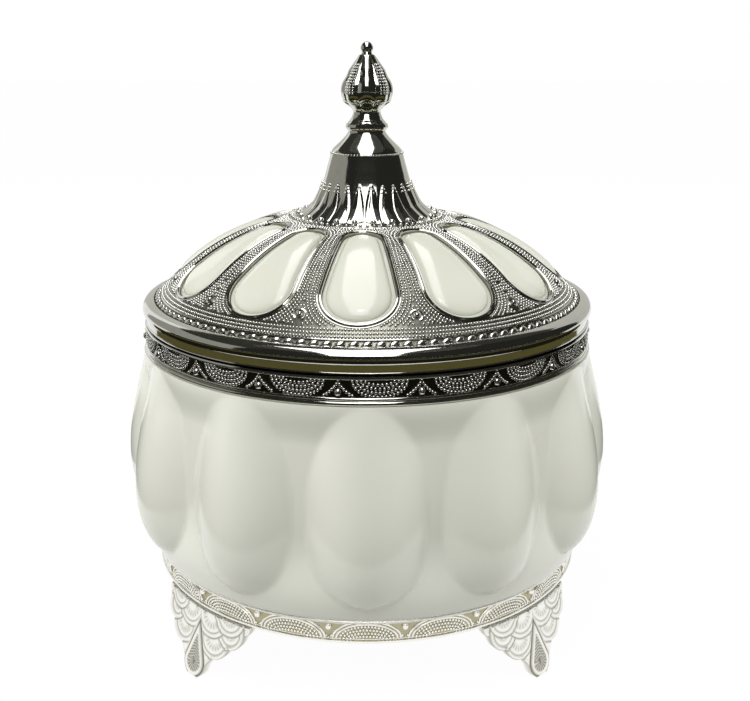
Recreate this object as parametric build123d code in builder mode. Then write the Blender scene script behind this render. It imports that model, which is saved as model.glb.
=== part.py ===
# Porcelain storage jar with a pierced metal lid, a metal rim and four cast feet.
# Millimetres. Z is up, Z = 0 is the floor under the feet and the jar's axis is the Z axis.
# Azimuths are measured from the front of the jar, which faces -Y, towards +X.

import os
from math import asin, cos, pi, radians, sin, sqrt

from build123d import *

os.makedirs("parts", exist_ok=True)

# Stack of heights
foot_height = 20.5          # floor to the underside of the base ring
base_ring_height = 8.1      # cast ring round the foot of the bowl
base_lip_gap = 0.15         # hairline between the base ring and the porcelain
bowl_height = 61.95         # porcelain that shows between the two rings
collar_height = 8.2         # metal collar round the mouth
mouth_drop = 0.6            # the glazed mouth stands this far below the collar's top
lid_gap = 0.4               # shadow line between collar and lid at rest

# Porcelain bowl
lobe_count = 12
bowl_foot_radius = 70.4     # valleys at the base ring, and the shoulder at the collar
bowl_belly = 3.0            # how far the valleys swell at mid-height
lobe_rise = 5.0             # how far a lobe stands out of the valleys beside it
lobe_start = 4.2            # porcelain below the lobes
bowl_wall = 4.4
bowl_floor = 4.7
neck_radius = 66.0
mouth_radius = 62.0
spigot_radius = 65.2        # foot of the porcelain, inside the base ring
spigot_wall = 5.2
spigot_recess = 4.0         # hollow under the bowl
inner_round = 12.0          # inside corner between wall and floor

# Rings
ring_outer_radius = 68.2
ring_lip_radius = 70.2
ring_lip_height = 2.2
ring_inner_radius = 65.6
ring_flange_radius = 59.0   # inner edge of the flange under the porcelain
ring_flange_thickness = 1.5
sleeve_drop = 1.0           # the cement sleeve ends this far below the mouth
cement_thickness = 0.8
collar_outer_radius = 69.2
collar_line_radius = 70.0   # raised lines at the collar's edges
collar_line_height = 1.1
motif_count = 20
pearl_radius = 1.2
collar_pearl_turn = -6.2    # degrees from the front to the first collar pearl
collar_pearl_height = 4.7   # above the collar's lower edge
base_pearl_turn = 9.0
base_pearl_height = 5.6     # above the ring's lower edge

# Feet
foot_turn = 45.0            # azimuth of the first foot
foot_head_radius = 69.0     # outer face of the foot where it meets the ring
foot_toe_radius = 74.2      # outer face of the foot at the floor
foot_plate = 3.0
foot_fan = ((7.2, 13.8, 6.2), (13.0, 17.0, 4.8), (17.8, 19.6, 2.0))   # along, height, radius
foot_toe_round = 4.8
foot_sole_cut = 0.6         # the round toe is cut flat by this much
foot_drop_radius = 3.9      # raised drop on the toe
foot_drop_height = 16.2
foot_drop_rise = 0.8
foot_tab_inner = 60.0
foot_tab_thickness = 2.4
foot_tab_turn = 11.0        # degrees each side of the foot's middle
rivet_pitch_radius = 63.0
rivet_turn = 7.0            # degrees each side of the foot's middle
rivet_radius = 1.3
rivet_head_radius = 2.3
rivet_head_height = 1.2
rivet_clearance = 0.05

# Lid
lid_rim_radius = 68.4
lid_bead_radius = 70.3      # polished roll, the widest place of the lid
lid_bead_height = 4.3
lid_bore_radius = 66.2
lid_bore_height = 2.9
dome_crown = 30.8           # rim of the lid to the top of the dome's arc
dome_arc_radius = 61.2
dome_arc_offset = 16.3      # the arc's centre from the jar's axis
dome_foot_radius = 62.1     # where the arc starts
dome_wall = 1.8
rope_ring_radius = 64.9
rope_radius = 1.2
window_count = 12
window_turn = -2.3          # degrees from the front to the first window
window_inner = 17.2         # centre of the narrow end, along the arc from its top
window_inner_round = 5.9
window_outer = 40.2         # centre of the round end, along the arc from its top
window_outer_round = 10.1

# Bell on top of the dome, radius and height above the dome's crown
bell_foot = (24.0, -0.5)
bell_flare = (17.6, 3.4)
bell_waist = (13.6, 11.3)
bell_shoulder = (11.3, 18.6)
bell_cap = (9.2, 22.2)
bell_top_radius = 6.6
bell_height = 25.9
bell_wall = 2.6
bell_ceiling = 3.8
hub_radius = 4.4

# White liner inside the lid
liner_gap = 0.25
liner_wall = 2.2
liner_seat_inner = 62.4     # inner edge of the liner where it stands on the locating ring
petal_rise = 0.9            # the petals stand this far out of the windows
petal_border = 1.2          # gap all round a petal inside its window

# Locating ring under the liner
ring_flange_reach = 65.6
ring_flange_height = 1.9
lip_radius = 60.5
lip_wall = 2.8
lip_depth = 7.0
lip_bead = 0.6              # ridge that keeps the seal on the lip
lip_bead_height = 1.6
lip_bead_drop = 0.4         # the ridge ends this far below the mouth

# Seal
seal_thickness = 1.7
seal_outer_radius = 65.3
seal_clearance = 0.06       # running clearance on the lip, the mouth and the flange

# Finial and its fastening
flange_radius = 6.5
flange_height = 2.5
pedestal_radius = 5.8
finial_neck = 4.7
finial_neck_height = 4.7
bud_radius = 7.9
bud_height = 17.6
bud_tip_radius = 2.2
bud_lobes = 8
bud_lobe_depth = 0.45
knob_radius = 2.4
knob_rise = 1.2
stud_radius = 2.0
stud_clearance = 0.05
stud_grip = 11.0            # thread inside the finial
stud_tail = 1.2             # thread below the nut
washer_radius = 6.0
washer_thickness = 1.2
nut_across = 7.0
nut_height = 3.2

# Levels that follow from the values above
ring_bottom = foot_height
ring_top = ring_bottom + base_ring_height
bowl_bottom = ring_top + base_lip_gap
bowl_top = bowl_bottom + bowl_height
collar_top = bowl_top + collar_height
mouth_level = collar_top - mouth_drop
lid_level = collar_top + lid_gap
spigot_bottom = ring_bottom + ring_flange_thickness + cement_thickness
bowl_underside = spigot_bottom + spigot_recess
bowl_inside = bowl_underside + bowl_floor
crown_level = lid_level + dome_crown
arc_level = crown_level - dome_arc_radius
bell_top = crown_level + bell_height


def spread(count, first=0.0):
    """Azimuths of a round pattern as angles about Z, the front being -Y."""
    return [first - 90.0 + 360.0 * index / count for index in range(count)]


def polar(radius, azimuth):
    """A point at an azimuth measured from the front."""
    return (radius * sin(radians(azimuth)), -radius * cos(radians(azimuth)))


def bowl_radius(share, angle):
    """Outer radius of the bowl at a share of its height and an angle about Z."""
    valley = bowl_foot_radius + bowl_belly * sin(pi * share ** 0.75)
    climb = (share * bowl_height - lobe_start) / (bowl_height - lobe_start)
    if climb <= 0.0 or climb >= 1.0:
        return valley
    middle = 0.54
    reach = middle + 0.04 if climb < middle else 1.0 - middle
    spread_share = sqrt(max(0.0, 1.0 - ((climb - middle) / reach) ** 2))
    half_width = 0.975 * pi / lobe_count * spread_share
    pitch = 2.0 * pi / lobe_count
    away = abs((angle + pi / 2 + pitch / 2) % pitch - pitch / 2)
    if away >= half_width:
        return valley
    return valley + lobe_rise * sin(pi * climb ** 0.6) * (1.0 - (away / half_width) ** 2) ** 1.2


def arc_point(arc_radius, radius):
    """A point of the dome's arc, or of one inside it, at a radius from the axis."""
    return (radius, arc_level + sqrt(arc_radius ** 2 - (radius - dome_arc_offset) ** 2))


def arc_start(arc_radius):
    """Where an arc parallel to the dome starts, square to the dome's own start."""
    run = dome_foot_radius - dome_arc_offset
    rise = sqrt(dome_arc_radius ** 2 - run ** 2)
    return (dome_arc_offset + arc_radius * run / dome_arc_radius,
            arc_level + arc_radius * rise / dome_arc_radius)


def window_outline(inset=0.0):
    """A lid window in plan: two rounds and their tangents, laid out along the dome's arc."""
    small = window_inner_round - inset
    large = window_outer_round - inset
    tangent = pi / 2 + asin((window_outer_round - window_inner_round) / (window_outer - window_inner))
    steps = 8
    outer = [(window_outer + large * cos(tangent * index / steps), large * sin(tangent * index / steps))
             for index in range(steps + 1)]
    turns = [tangent + (pi - tangent) * index / steps for index in range(steps + 1)]
    inner = [(window_inner + small * cos(turn), small * sin(turn)) for turn in turns]
    middle = [tuple(outer[-1][axis] + share * (inner[0][axis] - outer[-1][axis]) for axis in (0, 1))
              for share in (0.33, 0.67)]
    half = outer + middle + inner
    both = half + [(along, -across) for along, across in half[-2:0:-1]]
    return [(dome_arc_offset + dome_arc_radius * sin(along / dome_arc_radius), across)
            for along, across in both]


# Porcelain bowl: twelve egg shaped lobes, a plain neck and a plain foot
section_shares = (0.0, 0.04, 0.08, 0.13, 0.18, 0.25, 0.33, 0.42, 0.51, 0.60, 0.69, 0.78, 0.86, 0.92,
                  0.97, 1.0)
section_points = lobe_count * 8
with BuildPart() as porcelain_bowl:
    for share in section_shares:
        with BuildSketch(Plane.XY.offset(bowl_bottom + share * bowl_height)):
            with BuildLine():
                ring = [2.0 * pi * index / section_points for index in range(section_points)]
                Spline(*[(bowl_radius(share, turn) * cos(turn), bowl_radius(share, turn) * sin(turn))
                         for turn in ring], periodic=True)
            make_face()
    loft()
    with BuildSketch(Plane.XY.offset(spigot_bottom)):
        Circle(spigot_radius)
    extrude(amount=bowl_bottom - spigot_bottom)
    with BuildSketch(Plane.XY.offset(bowl_top)):
        Circle(neck_radius)
    extrude(amount=mouth_level - bowl_top)
    with BuildSketch(Plane.XY.offset(spigot_bottom)):
        Circle(spigot_radius - spigot_wall)
    extrude(amount=spigot_recess, mode=Mode.SUBTRACT)
    belly_radius = bowl_foot_radius + bowl_belly - bowl_wall - 1.6
    with BuildSketch(Plane.XZ):
        with BuildLine():
            Polyline((0, bowl_inside), (belly_radius - 3.0 - inner_round, bowl_inside))
            RadiusArc((belly_radius - 3.0 - inner_round, bowl_inside),
                      (belly_radius - 3.0, bowl_inside + inner_round), -inner_round)
            ThreePointArc((belly_radius - 3.0, bowl_inside + inner_round),
                          (belly_radius, bowl_bottom + 0.55 * bowl_height),
                          (mouth_radius, bowl_top + 1.0))
            Polyline((mouth_radius, bowl_top + 1.0), (mouth_radius, mouth_level), (0, mouth_level),
                     (0, bowl_inside))
        make_face()
    revolve(axis=Axis.Z, mode=Mode.SUBTRACT)
porcelain_bowl.part.label = "porcelain_bowl"
export_step(porcelain_bowl.part, "parts/porcelain_bowl.step")

# Base ring: flange under the porcelain, band of pearls and a sloped lip
rivet_turns = [foot_turn + 90.0 * index + side * rivet_turn for index in range(4) for side in (-1, 1)]
with BuildPart() as base_ring:
    with BuildSketch(Plane.XZ):
        with BuildLine():
            Polyline((ring_flange_radius, ring_bottom), (ring_outer_radius, ring_bottom),
                     (ring_outer_radius, ring_top - ring_lip_height), (ring_lip_radius, ring_top),
                     (ring_inner_radius, ring_top), (ring_inner_radius, ring_bottom + ring_flange_thickness),
                     (ring_flange_radius, ring_bottom + ring_flange_thickness),
                     (ring_flange_radius, ring_bottom))
        make_face()
    revolve(axis=Axis.Z)
    with Locations(*[(*polar(ring_outer_radius, base_pearl_turn + 360.0 / motif_count * index),
                      ring_bottom + base_pearl_height - pearl_radius) for index in range(motif_count)]):
        Sphere(pearl_radius)
    with BuildSketch(Plane.XY.offset(ring_bottom)):
        with Locations(*[polar(rivet_pitch_radius, turn) for turn in rivet_turns]):
            Circle(rivet_radius + rivet_clearance)
    extrude(amount=ring_flange_thickness, mode=Mode.SUBTRACT)
base_ring.part.label = "base_ring"
export_step(base_ring.part, "parts/base_ring.step")

with BuildPart() as base_cement:
    with BuildSketch(Plane.XY.offset(ring_bottom + ring_flange_thickness)):
        Circle(spigot_radius)
        Circle(spigot_radius - spigot_wall, mode=Mode.SUBTRACT)
    extrude(amount=cement_thickness)
base_cement.part.label = "base_cement"
export_step(base_cement.part, "parts/base_cement.step")

# Rim collar: band of pearls between two raised lines
collar_bore = neck_radius + cement_thickness
with BuildPart() as rim_collar:
    with BuildSketch(Plane.XZ):
        with BuildLine():
            Polyline((collar_bore, bowl_top), (collar_line_radius, bowl_top),
                     (collar_line_radius, bowl_top + collar_line_height),
                     (collar_outer_radius, bowl_top + collar_line_height),
                     (collar_outer_radius, collar_top - collar_line_height),
                     (collar_line_radius, collar_top - collar_line_height),
                     (collar_line_radius, collar_top), (collar_bore, collar_top), (collar_bore, bowl_top))
        make_face()
    revolve(axis=Axis.Z)
    with Locations(*[(*polar(collar_outer_radius, collar_pearl_turn + 360.0 / motif_count * index),
                      bowl_top + collar_pearl_height) for index in range(motif_count)]):
        Sphere(pearl_radius)
rim_collar.part.label = "rim_collar"
export_step(rim_collar.part, "parts/rim_collar.step")

with BuildPart() as collar_cement:
    with BuildSketch(Plane.XY.offset(bowl_top)):
        Circle(collar_bore)
        Circle(neck_radius, mode=Mode.SUBTRACT)
    extrude(amount=collar_height - mouth_drop - sleeve_drop)
collar_cement.part.label = "collar_cement"
export_step(collar_cement.part, "parts/collar_cement.step")

# Four cast feet: a scalloped fan under the ring, a drop shaped boss and a riveted tab
foot_names = ("foot_front_right", "foot_back_right", "foot_back_left", "foot_front_left")
for number, foot_name in enumerate(foot_names):
    with BuildPart() as foot:
        toe_centre = foot_toe_round - foot_sole_cut
        with BuildSketch(Plane.XZ):
            with Locations((0, toe_centre)):
                Circle(foot_toe_round)
            Polygon((-foot_toe_round, toe_centre), (foot_toe_round, toe_centre),
                    (foot_fan[2][0], ring_bottom), (-foot_fan[2][0], ring_bottom), align=None)
            for along, height, radius in foot_fan:
                with Locations((along, height), (-along, height)):
                    Circle(radius)
            with Locations((0, ring_bottom)):
                Rectangle(100, 40, align=(Align.CENTER, Align.MIN), mode=Mode.SUBTRACT)
            Rectangle(100, 40, align=(Align.CENTER, Align.MAX), mode=Mode.SUBTRACT)
        extrude(amount=foot_toe_radius + 10)
        with BuildSketch(Plane.XZ):
            Polygon((foot_head_radius - foot_plate, ring_bottom), (foot_head_radius, ring_bottom),
                    (foot_toe_radius, 0), (foot_toe_radius - foot_plate, 0), align=None)
        revolve(axis=Axis.Z, mode=Mode.INTERSECT)
        with BuildPart(mode=Mode.PRIVATE) as drop:
            with BuildSketch(Plane.XZ):
                with Locations((0, toe_centre)):
                    Circle(foot_drop_radius)
                Polygon((-foot_drop_radius, toe_centre), (foot_drop_radius, toe_centre),
                        (0, foot_drop_height), align=None)
            extrude(amount=foot_toe_radius + 10)
            with BuildSketch(Plane.XZ):
                Polygon((foot_head_radius - foot_plate / 2, ring_bottom),
                        (foot_head_radius + foot_drop_rise, ring_bottom),
                        (foot_toe_radius + foot_drop_rise, 0), (foot_toe_radius - foot_plate / 2, 0),
                        align=None)
            revolve(axis=Axis.Z, mode=Mode.INTERSECT)
        add(drop.part)
        with BuildSketch(Plane.XY.offset(ring_bottom - foot_tab_thickness)):
            with BuildLine():
                left = polar(foot_tab_inner, -foot_tab_turn)
                right = polar(foot_tab_inner, foot_tab_turn)
                outer_left = polar(foot_head_radius - foot_plate / 2, -foot_tab_turn)
                outer_right = polar(foot_head_radius - foot_plate / 2, foot_tab_turn)
                ThreePointArc(left, (0, -foot_tab_inner), right)
                Line(right, outer_right)
                ThreePointArc(outer_right, (0, foot_plate / 2 - foot_head_radius), outer_left)
                Line(outer_left, left)
            make_face()
            with Locations(polar(rivet_pitch_radius, -rivet_turn), polar(rivet_pitch_radius, rivet_turn)):
                Circle(rivet_radius + rivet_clearance, mode=Mode.SUBTRACT)
        extrude(amount=foot_tab_thickness)
    placed = foot.part.rotate(Axis.Z, foot_turn + 90.0 * number)
    placed.label = foot_name
    export_step(placed, "parts/" + foot_name + ".step")

with BuildPart() as foot_rivets:
    with Locations(*[(*polar(rivet_pitch_radius, turn), ring_bottom - foot_tab_thickness)
                     for turn in rivet_turns]):
        Cylinder(rivet_head_radius, rivet_head_height, align=(Align.CENTER, Align.CENTER, Align.MAX))
        Cylinder(rivet_radius, foot_tab_thickness + ring_flange_thickness,
                 align=(Align.CENTER, Align.CENTER, Align.MIN))
foot_rivets.part.label = "foot_rivets"
export_step(foot_rivets.part, "parts/foot_rivets.step")

# Lid dome: rolled rim, rope ring, pierced dome and bell in one casting
inner_arc = dome_arc_radius - dome_wall
liner_arc = inner_arc - liner_gap
liner_crown = arc_level + liner_arc
ceiling_level = bell_top - bell_ceiling
window_azimuths = spread(window_count, window_turn)


slope_foot = (lid_rim_radius + 0.4, lid_level + lid_bead_height)
slope_head = arc_start(dome_arc_radius)
slope_length = sqrt((slope_foot[0] - slope_head[0]) ** 2 + (slope_head[1] - slope_foot[1]) ** 2)
rope_share = (slope_foot[0] - rope_ring_radius) / (slope_foot[0] - slope_head[0])
rope_reach = rope_radius / slope_length


def on_slope(share, out=0.0):
    """A point along the slope between rolled rim and dome, or standing out of it."""
    run = slope_head[0] - slope_foot[0]
    rise = slope_head[1] - slope_foot[1]
    return (slope_foot[0] + share * run + out * rise / slope_length,
            slope_foot[1] + share * rise - out * run / slope_length)


def on_bell(point, inward=0.0):
    """A point of the bell's outline, moved towards the axis by a wall."""
    return (point[0] - inward, crown_level + point[1])


with BuildPart() as lid_dome:
    with BuildSketch(Plane.XZ):
        with BuildLine():
            Line((lid_bore_radius, lid_level), (lid_rim_radius, lid_level))
            ThreePointArc((lid_rim_radius, lid_level), (lid_bead_radius, lid_level + 0.53 * lid_bead_height),
                          slope_foot)
            Line(slope_foot, on_slope(rope_share - rope_reach))
            ThreePointArc(on_slope(rope_share - rope_reach), on_slope(rope_share, rope_radius),
                          on_slope(rope_share + rope_reach))
            Line(on_slope(rope_share + rope_reach), arc_start(dome_arc_radius))
            ThreePointArc(arc_start(dome_arc_radius), arc_point(dome_arc_radius, 45.0),
                          arc_point(dome_arc_radius, bell_foot[0]))
            Spline(arc_point(dome_arc_radius, bell_foot[0]), on_bell(bell_flare), on_bell(bell_waist),
                   on_bell(bell_shoulder), on_bell(bell_cap), (bell_top_radius, bell_top))
            Polyline((bell_top_radius, bell_top), (stud_radius + stud_clearance, bell_top),
                     (stud_radius + stud_clearance, liner_crown), (hub_radius, liner_crown),
                     (hub_radius, ceiling_level),
                     (bell_shoulder[0] - bell_wall - 2.0, ceiling_level),
                     on_bell(bell_shoulder, bell_wall + 0.4), on_bell(bell_waist, bell_wall),
                     on_bell(bell_flare, bell_wall + 0.4), arc_point(inner_arc, bell_foot[0] - 2.0))
            ThreePointArc(arc_point(inner_arc, bell_foot[0] - 2.0), arc_point(inner_arc, 45.0),
                          arc_start(inner_arc))
            Polyline(arc_start(inner_arc), (lid_bore_radius, lid_level + lid_bore_height),
                     (lid_bore_radius, lid_level))
        make_face()
    revolve(axis=Axis.Z)
    with BuildSketch(Plane.XY.offset(lid_level)):
        for azimuth in window_azimuths:
            with BuildSketch(Plane.XY.rotated((0, 0, azimuth)), mode=Mode.PRIVATE) as window:
                with BuildLine():
                    Spline(*window_outline(), periodic=True)
                make_face()
            add(window.sketch)
    extrude(amount=dome_crown + 10, mode=Mode.SUBTRACT)
lid_dome.part.label = "lid_dome"
export_step(lid_dome.part, "parts/lid_dome.step")

# Locating ring: its lip centres the lid in the mouth and keeps the seal under its flange
flange_bottom = mouth_level + seal_clearance + seal_thickness + seal_clearance
flange_top = flange_bottom + ring_flange_height
lip_bottom = mouth_level - lip_depth
lip_inner = lip_radius - lip_wall
with BuildPart() as locating_ring:
    with BuildSketch(Plane.XZ):
        with BuildLine():
            Polyline((lip_inner, lip_bottom), (lip_radius, lip_bottom),
                     (lip_radius, mouth_level - lip_bead_drop - lip_bead_height),
                     (lip_radius + lip_bead, mouth_level - lip_bead_drop - 0.5 * lip_bead_height),
                     (lip_radius, mouth_level - lip_bead_drop), (lip_radius, flange_bottom),
                     (ring_flange_reach, flange_bottom), (ring_flange_reach, flange_top),
                     (lip_inner, flange_top), (lip_inner, lip_bottom))
        make_face()
    revolve(axis=Axis.Z)
locating_ring.part.label = "locating_ring"
export_step(locating_ring.part, "parts/locating_ring.step")

# Ivory liner: one moulding with the dome and the twelve raised petals, on the locating ring
liner_inner_arc = liner_arc - liner_wall
with BuildPart() as lid_liner:
    with BuildSketch(Plane.XY.offset(flange_top)):
        for azimuth in window_azimuths:
            with BuildSketch(Plane.XY.rotated((0, 0, azimuth)), mode=Mode.PRIVATE) as petal:
                with BuildLine():
                    Spline(*window_outline(petal_border), periodic=True)
                make_face()
            add(petal.sketch)
    extrude(amount=dome_crown + 10)
    with BuildSketch(Plane.XZ):
        with BuildLine():
            petal_arc = dome_arc_radius + petal_rise
            ThreePointArc(arc_start(petal_arc), arc_point(petal_arc, 45.0), arc_point(petal_arc, 20.0))
            Line(arc_point(petal_arc, 20.0), arc_point(liner_inner_arc + 0.5, 20.0))
            ThreePointArc(arc_point(liner_inner_arc + 0.5, 20.0), arc_point(liner_inner_arc + 0.5, 45.0),
                          arc_start(liner_inner_arc + 0.5))
            Line(arc_start(liner_inner_arc + 0.5), arc_start(petal_arc))
        make_face()
    revolve(axis=Axis.Z, mode=Mode.INTERSECT)
    with BuildSketch(Plane.XZ):
        with BuildLine():
            Line((liner_seat_inner, flange_top), (ring_flange_reach, flange_top))
            Line((ring_flange_reach, flange_top), arc_start(liner_arc))
            ThreePointArc(arc_start(liner_arc), arc_point(liner_arc, 45.0),
                          arc_point(liner_arc, dome_arc_offset))
            Polyline(arc_point(liner_arc, dome_arc_offset), (stud_radius + stud_clearance, liner_crown),
                     (stud_radius + stud_clearance, liner_crown - liner_wall),
                     arc_point(liner_inner_arc, dome_arc_offset))
            ThreePointArc(arc_point(liner_inner_arc, dome_arc_offset), arc_point(liner_inner_arc, 45.0),
                          arc_start(liner_inner_arc))
            Line(arc_start(liner_inner_arc), (liner_seat_inner, flange_top))
        make_face()
    revolve(axis=Axis.Z)
lid_liner.part.label = "lid_liner"
export_step(lid_liner.part, "parts/lid_liner.step")

with BuildPart() as lid_seal:
    with BuildSketch(Plane.XY.offset(mouth_level + seal_clearance)):
        Circle(seal_outer_radius)
        Circle(lip_radius + seal_clearance, mode=Mode.SUBTRACT)
    extrude(amount=seal_thickness)
lid_seal.part.label = "lid_seal"
export_step(lid_seal.part, "parts/lid_seal.step")

# Finial: flange, pedestal, lobed bud and a small ball, threaded from below
neck_level = bell_top + finial_neck_height
bud_profile = ((0.0, 0.0), (0.10, 0.62), (0.20, 0.90), (0.32, 0.97), (0.46, 1.0), (0.58, 0.74),
               (0.70, 0.30), (0.82, -0.16), (0.92, -0.52),
               (1.0, (bud_tip_radius - finial_neck) / (bud_radius - finial_neck)))
bud_points = bud_lobes * 6
with BuildPart() as finial:
    for share, swell in bud_profile:
        with BuildSketch(Plane.XY.offset(neck_level + share * bud_height)):
            with BuildLine():
                ring = [2.0 * pi * index / bud_points for index in range(bud_points)]
                depth = bud_lobe_depth * sin(pi * share)
                mean = finial_neck + swell * (bud_radius - finial_neck) - depth
                Spline(*[((mean + depth * cos(bud_lobes * turn)) * cos(turn),
                          (mean + depth * cos(bud_lobes * turn)) * sin(turn)) for turn in ring],
                       periodic=True)
            make_face()
    loft()
    with BuildSketch(Plane.XZ):
        with BuildLine():
            Polyline((0, bell_top), (flange_radius - 0.4, bell_top), (flange_radius, bell_top + 0.6),
                     (flange_radius, bell_top + flange_height - 0.6),
                     (flange_radius - 0.5, bell_top + flange_height),
                     (pedestal_radius, bell_top + flange_height),
                     (finial_neck - 0.3, neck_level), (finial_neck - 0.3, neck_level + 0.5),
                     (0, neck_level + 0.5), (0, bell_top))
        make_face()
    revolve(axis=Axis.Z)
    with Locations((0, 0, neck_level + bud_height + knob_rise)):
        Sphere(knob_radius)
    with BuildSketch(Plane.XY.offset(bell_top)):
        Circle(stud_radius + stud_clearance)
    extrude(amount=stud_grip + 0.5, mode=Mode.SUBTRACT)
finial.part.label = "finial"
export_step(finial.part, "parts/finial.step")

washer_top = liner_crown - liner_wall
nut_top = washer_top - washer_thickness
stud_bottom = nut_top - nut_height - stud_tail
with BuildPart() as lid_stud:
    with BuildSketch(Plane.XY.offset(stud_bottom)):
        Circle(stud_radius)
    extrude(amount=bell_top + stud_grip - stud_bottom)
    chamfer(lid_stud.edges().filter_by(GeomType.CIRCLE), length=0.4)
lid_stud.part.label = "lid_stud"
export_step(lid_stud.part, "parts/lid_stud.step")

with BuildPart() as stud_washer:
    with BuildSketch(Plane.XY.offset(nut_top)):
        Circle(washer_radius)
        Circle(stud_radius + 3 * stud_clearance, mode=Mode.SUBTRACT)
    extrude(amount=washer_thickness)
stud_washer.part.label = "stud_washer"
export_step(stud_washer.part, "parts/stud_washer.step")

with BuildPart() as stud_nut:
    with BuildSketch(Plane.XY.offset(nut_top - nut_height)):
        RegularPolygon(nut_across / 2, 6, major_radius=False)
        Circle(stud_radius + stud_clearance, mode=Mode.SUBTRACT)
    extrude(amount=nut_height)
stud_nut.part.label = "stud_nut"
export_step(stud_nut.part, "parts/stud_nut.step")
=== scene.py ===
# Porcelain storage jar: white lobed bowl, nickel plated collar, base ring, feet and pierced lid.
# Lengths are millimetres unless a comment says otherwise, and become metres in make_mesh and beads.
# Azimuths are degrees from the front of the jar, which faces -Y, towards +X.

import math

import bmesh
import bpy
import numpy as np
from mathutils import Matrix, Quaternion, Vector


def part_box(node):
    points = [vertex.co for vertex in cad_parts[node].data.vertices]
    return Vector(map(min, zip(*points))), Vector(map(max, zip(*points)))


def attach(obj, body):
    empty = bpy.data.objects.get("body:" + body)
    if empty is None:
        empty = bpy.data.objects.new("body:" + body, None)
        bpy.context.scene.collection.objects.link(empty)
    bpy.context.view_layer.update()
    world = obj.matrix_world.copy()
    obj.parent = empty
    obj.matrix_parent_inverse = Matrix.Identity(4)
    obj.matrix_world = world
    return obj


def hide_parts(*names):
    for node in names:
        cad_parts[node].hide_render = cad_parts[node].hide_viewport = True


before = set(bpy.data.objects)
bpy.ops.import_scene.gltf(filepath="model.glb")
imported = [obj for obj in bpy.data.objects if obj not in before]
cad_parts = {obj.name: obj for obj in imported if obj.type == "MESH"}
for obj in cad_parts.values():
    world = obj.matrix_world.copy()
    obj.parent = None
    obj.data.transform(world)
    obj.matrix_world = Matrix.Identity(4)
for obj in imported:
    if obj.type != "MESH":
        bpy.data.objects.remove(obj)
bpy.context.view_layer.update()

MM = 0.001
FULL_TURN = 2.0 * math.pi


def level(node, end):
    """Height of a CAD node's underside (0) or top (1)."""
    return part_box(node)[end][2] / MM


# Levels taken from the frame
seal_clearance = 0.06
ring_bottom = level("base_ring", 0)
ring_top = level("base_ring", 1)
collar_bottom = level("rim_collar", 0)
collar_top = level("rim_collar", 1)
lid_level = level("lid_dome", 0)
bell_top = level("lid_dome", 1)
mouth_level = level("lid_seal", 0) - seal_clearance
flange_top = level("lid_liner", 0)
spigot_bottom = level("base_cement", 1)
finial_top = level("finial", 1)

# Bowl, with the wall, spigot and mouth of the part's source
base_lip_gap = 0.15
bowl_bottom = ring_top + base_lip_gap
bowl_height = collar_bottom - bowl_bottom
bowl_foot_radius = 70.4
bowl_belly = 3.0
lobe_count = 12
lobe_rise = 5.0
lobe_start = 4.2
lobe_widest = 0.42      # share of the lobe's height at which it is widest
lobe_share = 0.90       # share of a twelfth of the bowl that a lobe takes up
lobe_outline = 2.3      # 2 makes the outline an ellipse, and more makes it fuller
lobe_crown = 1.1        # 1 makes the lobe's section a parabola, and more lets its edges run out softly
lobe_skew = 0.6         # below 1, the fullest place of the lobe lies lower
belly_skew = 0.75       # the same for the belly of the plain skin
hollow_depth = 2.2
hollow_fade_top = 0.2   # shares of the lobe's height over which the hollows fade out
hollow_fade_foot = 0.3
neck_radius = 66.0
mouth_radius = 62.0
spigot_radius = 65.2
spigot_wall = 5.2
spigot_recess = 4.0
bowl_floor = 4.7
bowl_inner_radius = 67.4
bowl_floor_radius = 64.4
inner_round = 12.0

# Collar and base ring
motif_count = 20
ring_outer_radius = 68.2
ring_inner_radius = 65.6
ring_flange_radius = 59.0
ring_flange_thickness = 1.5
collar_outer_radius = 69.2
collar_bore = 66.8
collar_pearl_turn = -6.2
base_pearl_turn = 9.0

# Feet. The fan's scallops are (way from the middle, height, radius)
foot_names = ("foot_front_right", "foot_back_right", "foot_back_left", "foot_front_left")
foot_turn = 45.0
foot_head_radius = 69.0
foot_toe_radius = 74.2
foot_plate = 3.0
foot_fan = ((7.2, 13.8, 6.2), (13.0, 17.0, 4.8), (17.8, 19.6, 2.0))
foot_shells = foot_fan[:2] + ((5.0, 20.0, 6.6), (12.0, 21.5, 5.6))
foot_toe_round = 4.8
foot_sole_cut = 0.6
foot_drop_radius = 4.2
foot_drop_height = 16.2
toe_centre = foot_toe_round - foot_sole_cut

# Lid
lid_slope_height = 4.3
roll_centre = 67.95
roll_radius = 2.35
roll_level = lid_level + 4.15
lid_rim_radius = 68.4
lid_bore_radius = 66.2
lid_bore_height = 2.9
bell_height = 25.9
crown_level = bell_top - bell_height
dome_arc_radius = 61.2
dome_arc_offset = 16.3
dome_foot_radius = 62.1
dome_wall = 1.8
arc_level = crown_level - dome_arc_radius
rope_ring_radius = 65.6
rope_radius = 0.95
rope_slant = 20.0
rope_twists = 116
window_count = 12
window_turn = -2.3
window_inner = 17.2
window_inner_round = 5.9
window_outer = 40.2
window_outer_round = 10.1
bell_foot_radius = 24.0
facet_count = 12
shoulder_level = crown_level + 20.0
leaf_height = 10.5
facet_share = 0.35      # 0 leaves the bell round, and 1 makes its facets flat
leaf_line_height = 0.14
leaf_cushion_height = 0.5
liner_gap = 0.25
liner_wall = 2.2
liner_flange_radius = 65.6
liner_seat_inner = 62.4
petal_inset = 1.15
petal_crown = 1.75
stud_hole = 2.05

# Beads: sides and rings of each kind
small_bead = (6, 4)
round_bead = (8, 5)
rope_grain = (10, 8)
pearl = (16, 8)

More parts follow.
